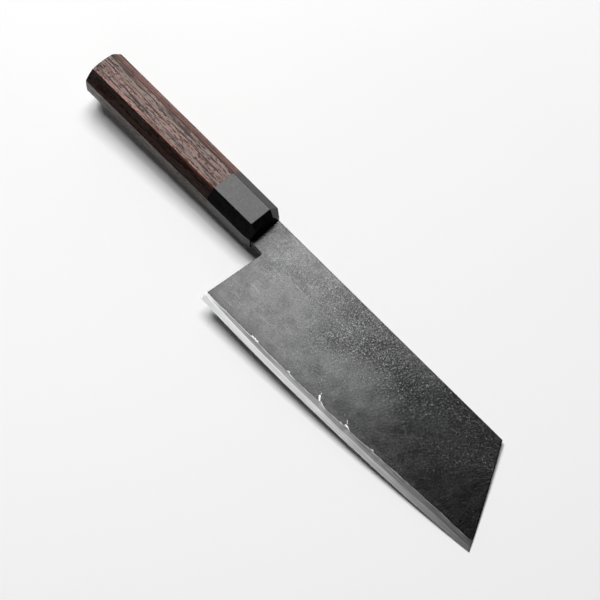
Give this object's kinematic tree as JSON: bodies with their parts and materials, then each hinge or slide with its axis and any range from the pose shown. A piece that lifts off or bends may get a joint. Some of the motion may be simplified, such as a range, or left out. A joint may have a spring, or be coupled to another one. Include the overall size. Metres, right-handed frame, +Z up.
{
  "type": "kitchen knife",
  "caption": "Kitchen knife for slicing and chopping, with a tall laminated blade, a clipped tip, a dark forged finish and an octagonal wooden handle with a black ferrule.",
  "frame": {"origin": "middle of the knife's footprint on the table it lies on, at table height", "axes": "+X along the knife towards the tip, +Y across the blade towards the spine, +Z up, out of the side of the blade that faces away from the table; the knife leans nose down by under three degrees, because it rests on the front of the ferrule and on the tip"},
  "size_m": [0.3126, 0.0612, 0.0257],
  "materials": {
    "core_steel": "hard carbon steel, finely polished along the cutting edge",
    "forged_cladding": "soft iron left with dull black forge scale, ground to satin grey in a narrow band above the core",
    "black_horn": "satin black horn",
    "dark_hardwood": "open-pored dark reddish brown hardwood, satin oil",
    "pale_wood": "bare pale softwood",
    "clear_epoxy": "cured clear adhesive",
    "sealing_wax": "dull dark wax"
  },
  "bodies": {
    "root": {"core_steel": "core_steel", "cladding_upper": "forged_cladding", "cladding_lower": "forged_cladding", "ferrule": "black_horn", "handle_wood": "dark_hardwood", "handle_dowel": "pale_wood", "tang_bedding": "clear_epoxy", "mouth_seal": "sealing_wax"}
  },
  "joints": []
}
